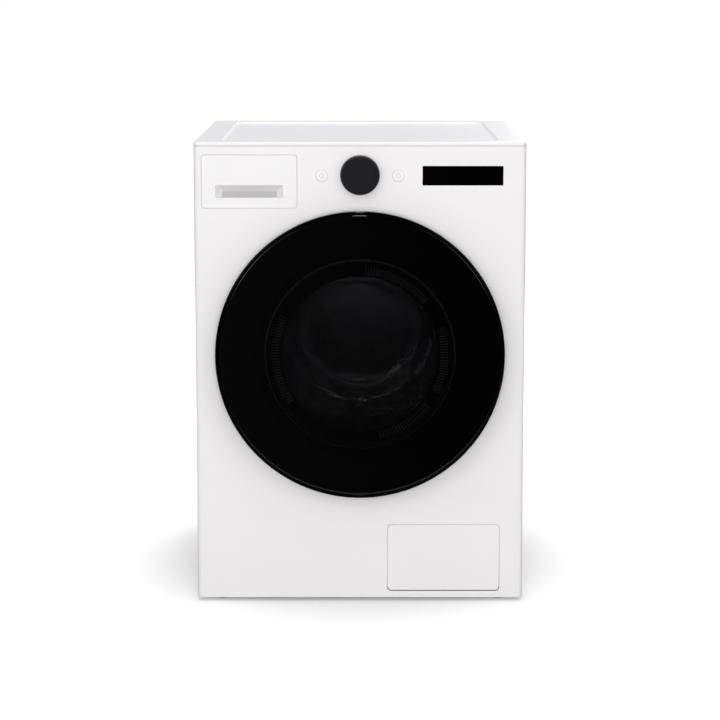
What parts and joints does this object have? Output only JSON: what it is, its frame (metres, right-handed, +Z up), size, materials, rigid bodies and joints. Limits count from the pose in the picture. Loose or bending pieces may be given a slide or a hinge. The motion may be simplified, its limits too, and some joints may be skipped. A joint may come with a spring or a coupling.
{
  "type": "front load washing machine",
  "caption": "Freestanding front load washing machine with a round glass door, detergent drawer, dial, display, filter flap and full inner works.",
  "frame": {"origin": "on the floor under the middle of the bounding box", "axes": "+Z up, -Y out of the front, +X to the right of someone facing the door"},
  "size_m": [0.7, 0.83, 0.99],
  "materials": {
    "white_enamel": "gloss",
    "galvanised_steel": "satin",
    "stainless_steel": "polished",
    "cast_aluminium": "matte",
    "black_plastic": "satin",
    "charcoal_plastic": "satin",
    "grey_plastic": "matte",
    "white_plastic": "gloss",
    "tub_plastic": "matte",
    "blue_plastic": "satin",
    "rubber": "matte",
    "bowl_glass": "polished",
    "tinted_glass": "polished",
    "display_plastic": "polished",
    "concrete": "matte",
    "motor_iron": "satin",
    "circuit_board": "satin"
  },
  "bodies": {
    "cabinet": {"front_panel": "white_enamel", "left_side_panel": "white_enamel", "right_side_panel": "white_enamel", "top_cover": "white_enamel", "rear_panel": "galvanised_steel", "rear_service_cover": "galvanised_steel", "base_pan": "galvanised_steel", "cross_brace": "galvanised_steel", "display_window": "display_plastic", "control_board": "circuit_board", "control_housing": "white_plastic", "main_board_box": "black_plastic", "drawer_housing": "grey_plastic", "hinge_bracket": "cast_aluminium", "hinge_pin": "stainless_steel", "door_lock": "black_plastic", "door_gasket": "rubber", "left_spring": "stainless_steel", "right_spring": "stainless_steel", "left_damper_cylinder": "grey_plastic", "right_damper_cylinder": "grey_plastic", "pump_body": "grey_plastic", "sump_hose": "rubber", "drain_hose": "grey_plastic", "drain_outlet": "black_plastic", "inlet_valve": "white_plastic", "fill_hose": "rubber", "power_gland": "black_plastic"},
    "door": {"door_glass": "tinted_glass", "door_frame": "charcoal_plastic", "door_inner_ring": "black_plastic", "door_bowl": "bowl_glass", "hinge_leaf": "cast_aluminium"},
    "latch": {"latch_hook": "cast_aluminium"},
    "tub": {"tub_front": "tub_plastic", "tub_rear": "tub_plastic", "front_counterweight": "concrete", "heater": "stainless_steel", "front_bearing": "stainless_steel", "rear_bearing": "stainless_steel", "stator": "motor_iron", "left_damper_rod": "stainless_steel", "right_damper_rod": "stainless_steel"},
    "drum": {"drum_shell": "stainless_steel", "drum_spider": "cast_aluminium", "rotor": "galvanised_steel", "bottom_baffle": "grey_plastic", "left_baffle": "grey_plastic", "right_baffle": "grey_plastic"},
    "drawer": {"drawer_front": "white_plastic", "drawer_tray": "blue_plastic"},
    "dial": {"dial_knob": "charcoal_plastic"},
    "power": {"power_button": "white_plastic"},
    "start": {"start_button": "white_plastic"},
    "flap": {"filter_flap": "white_enamel"},
    "filter": {"filter_cap": "grey_plastic"},
    "front_left_leg": {"front_left_foot": "rubber"},
    "front_right_leg": {"front_right_foot": "rubber"},
    "rear_left_leg": {"rear_left_foot": "rubber"},
    "rear_right_leg": {"rear_right_foot": "rubber"}
  },
  "joints": [
    {"name": "door_hinge", "type": "hinge", "parent": "cabinet", "child": "door", "pos_m": [-0.292, -0.395, 0.542], "axis": [0, 0, -1], "range_deg": [0, 115]},
    {"name": "latch_pivot", "type": "hinge", "parent": "door", "child": "latch", "pos_m": [0.262, -0.388, 0.542], "axis": [0, 0, 1], "range_deg": [0, 6], "stiffness_Nm_per_rad": 0.6, "springref_deg": -2.86},
    {"name": "tub_bounce", "type": "slide", "parent": "cabinet", "child": "tub", "axis": [0, 0, 1], "range_m": [-0.01, 0.01], "stiffness_N_per_m": 24000, "springref_m": 0.01661, "deforming": ["left_spring", "right_spring", "door_gasket", "sump_hose"]},
    {"name": "drum_spin", "type": "hinge", "parent": "tub", "child": "drum", "pos_m": [0, 0, 0.542], "axis": [0, 1, 0], "continuous": true},
    {"name": "drawer_slide", "type": "slide", "parent": "cabinet", "child": "drawer", "axis": [0, -1, 0], "range_m": [0, 0.19]},
    {"name": "dial_turn", "type": "hinge", "parent": "cabinet", "child": "dial", "pos_m": [0, -0.38, 0.921], "axis": [0, -1, 0], "continuous": true},
    {"name": "power_press", "type": "slide", "parent": "cabinet", "child": "power", "axis": [0, 1, 0], "range_m": [0, 0.002], "stiffness_N_per_m": 800, "springref_m": -0.001},
    {"name": "start_press", "type": "slide", "parent": "cabinet", "child": "start", "axis": [0, 1, 0], "range_m": [0, 0.002], "stiffness_N_per_m": 800, "springref_m": -0.001},
    {"name": "flap_hinge", "type": "hinge", "parent": "cabinet", "child": "flap", "pos_m": [0.17965, -0.3695, 0.0267], "axis": [1, 0, 0], "range_deg": [0, 90]},
    {"name": "filter_turn", "type": "hinge", "parent": "cabinet", "child": "filter", "pos_m": [0.17965, -0.35, 0.0959], "axis": [0, -1, 0], "range_deg": [0, 90]},
    {"name": "front_left_level", "type": "slide", "parent": "cabinet", "child": "front_left_leg", "axis": [0, 0, -1], "range_m": [0, 0.012]},
    {"name": "front_right_level", "type": "slide", "parent": "cabinet", "child": "front_right_leg", "axis": [0, 0, -1], "range_m": [0, 0.012]},
    {"name": "rear_left_level", "type": "slide", "parent": "cabinet", "child": "rear_left_leg", "axis": [0, 0, -1], "range_m": [0, 0.012]},
    {"name": "rear_right_level", "type": "slide", "parent": "cabinet", "child": "rear_right_leg", "axis": [0, 0, -1], "range_m": [0, 0.012]}
  ]
}
